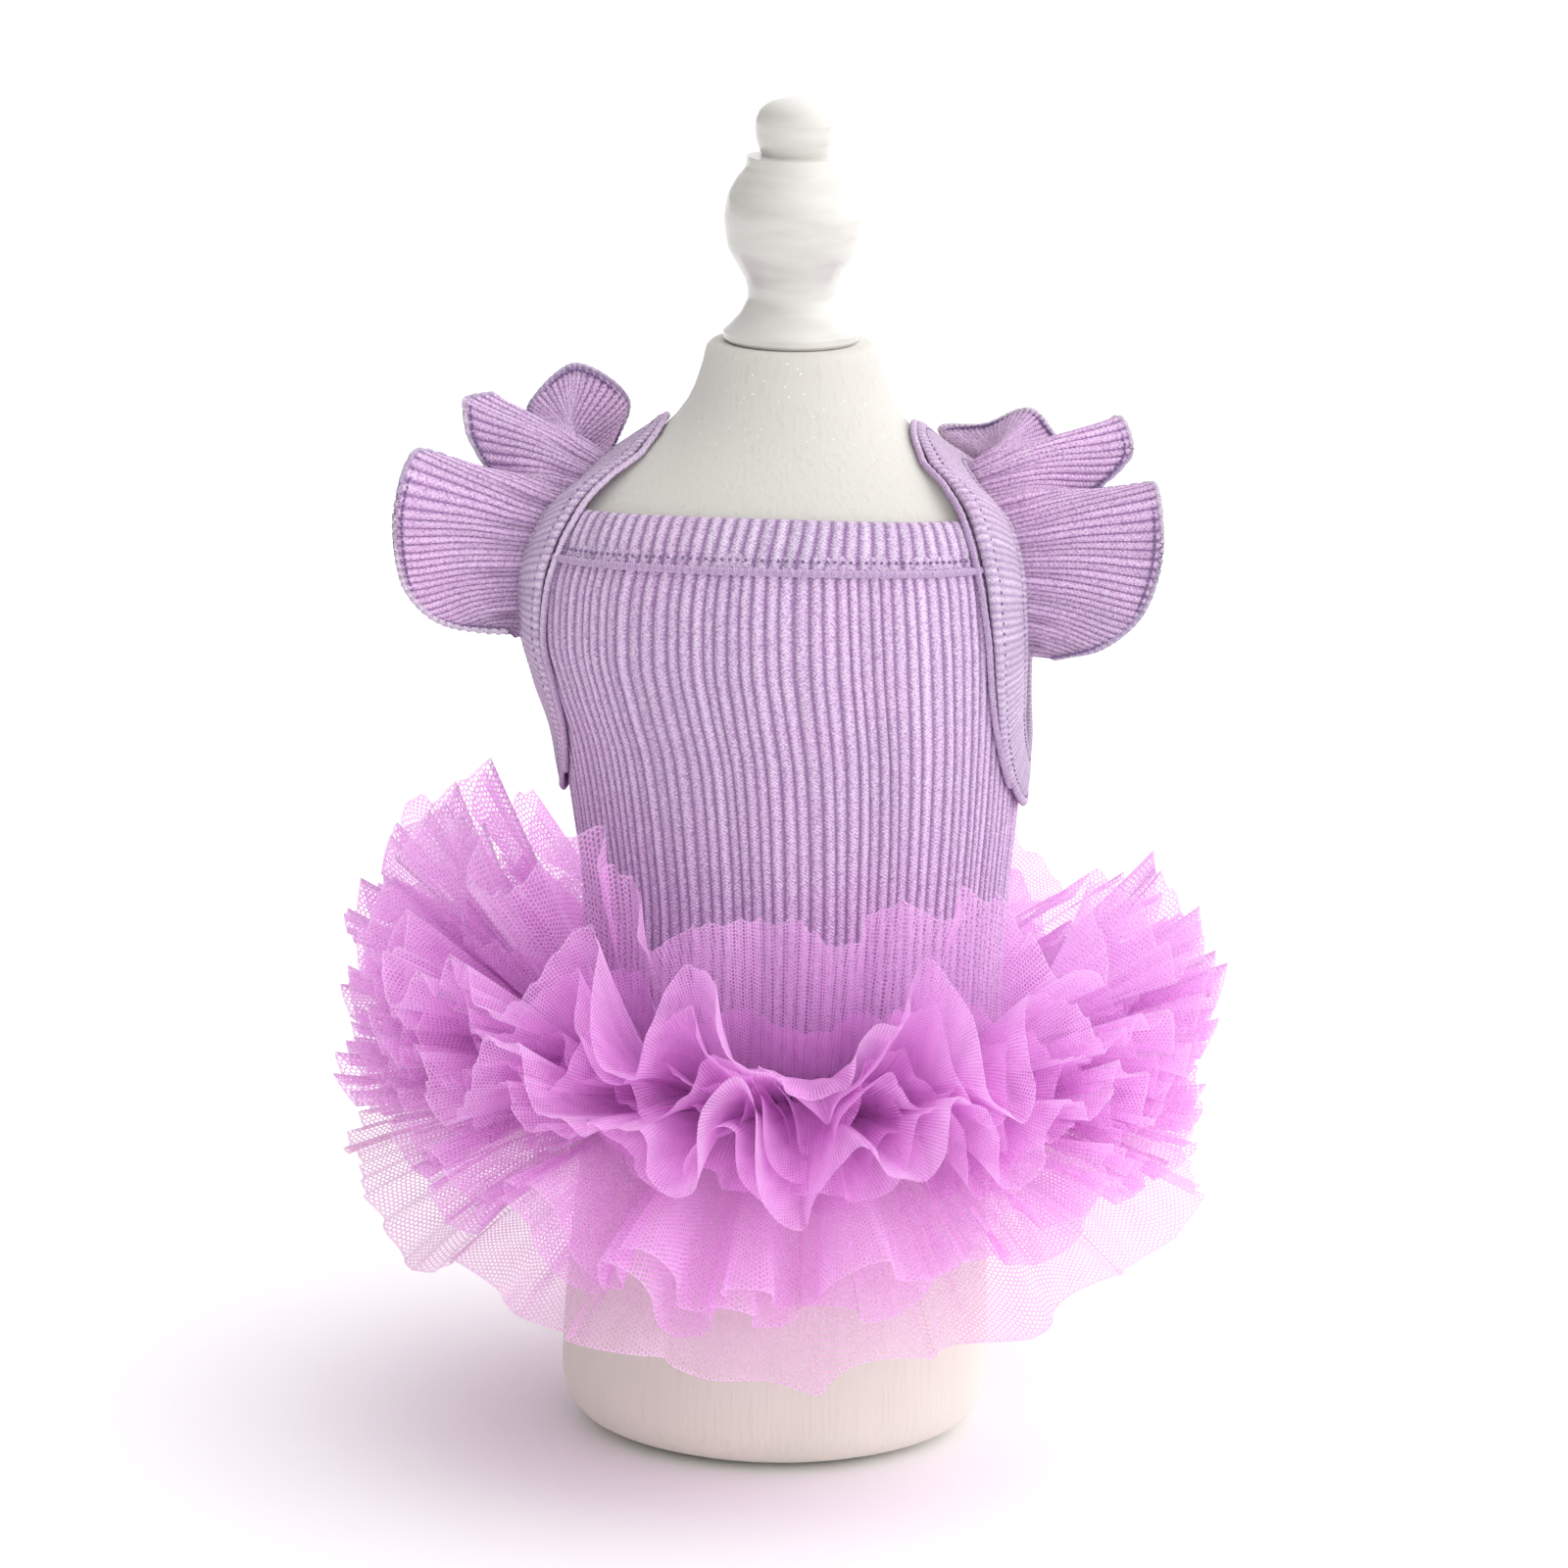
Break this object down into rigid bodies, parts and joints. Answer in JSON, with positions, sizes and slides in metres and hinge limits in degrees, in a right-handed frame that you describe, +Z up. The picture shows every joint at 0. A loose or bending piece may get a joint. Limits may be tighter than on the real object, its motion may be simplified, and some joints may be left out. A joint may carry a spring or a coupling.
{
  "type": "pet tutu dress on a dress form",
  "caption": "Small pet's rib-knit dress with flutter sleeves and a full gathered tulle tutu, worn by a limbless table-top dress form with a turned finial",
  "frame": {"origin": "the centre of the dress form's flat underside, on the surface it stands on", "axes": "+Z is up along the form's axis, -Y is the front of the dress, and +X is on the right of someone who looks at the front"},
  "size_m": [0.2257, 0.2142, 0.3443],
  "materials": {
    "rib_knit": "lilac fine rib knit, matt",
    "tulle": "orchid soft tulle, sheer, slight sheen",
    "net": "pale orchid single net, sheer",
    "form_cover": "cream jersey cover, matt",
    "painted_wood": "turned wood in glossy white paint"
  },
  "bodies": {
    "root": {"bodice_front": "rib_knit", "bodice_back": "rib_knit", "neckband_front": "rib_knit", "neckband_back": "rib_knit", "armhole_binding_left": "rib_knit", "armhole_binding_right": "rib_knit", "flutter_sleeve_left": "rib_knit", "flutter_sleeve_right": "rib_knit", "tulle_tier_1": "tulle", "tulle_tier_2": "tulle", "tulle_tier_3": "tulle", "tulle_tier_4": "tulle", "underskirt_net": "net", "form_body": "form_cover", "form_finial": "painted_wood"}
  },
  "joints": []
}
